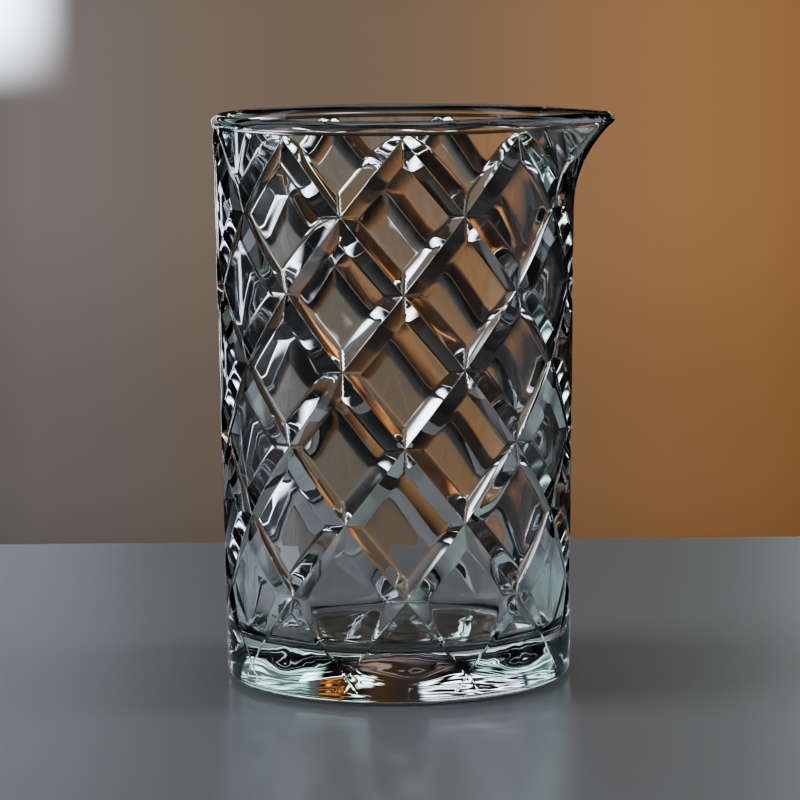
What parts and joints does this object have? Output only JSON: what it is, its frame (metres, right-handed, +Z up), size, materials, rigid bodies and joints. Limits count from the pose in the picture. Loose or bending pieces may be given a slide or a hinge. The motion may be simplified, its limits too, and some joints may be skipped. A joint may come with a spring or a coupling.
{
  "type": "bar mixing glass",
  "caption": "Clear glass bar mixing glass: a tapered cup with a thick base, diamond lattice cut into its wall and a beak spout in its rim.",
  "frame": {"origin": "centre of the flat underside, on the axis of the round cup, in the plane the glass stands on", "axes": "+Z up along the cup's axis, +X from the axis towards the tip of the beak, +Y to the left of someone who looks along +X"},
  "size_m": [0.1027, 0.0924, 0.145],
  "materials": {
    "clear_glass": "polished, with a faint cool green tint where it is thick"
  },
  "bodies": {
    "root": {"glass_body": "clear_glass"}
  },
  "joints": []
}
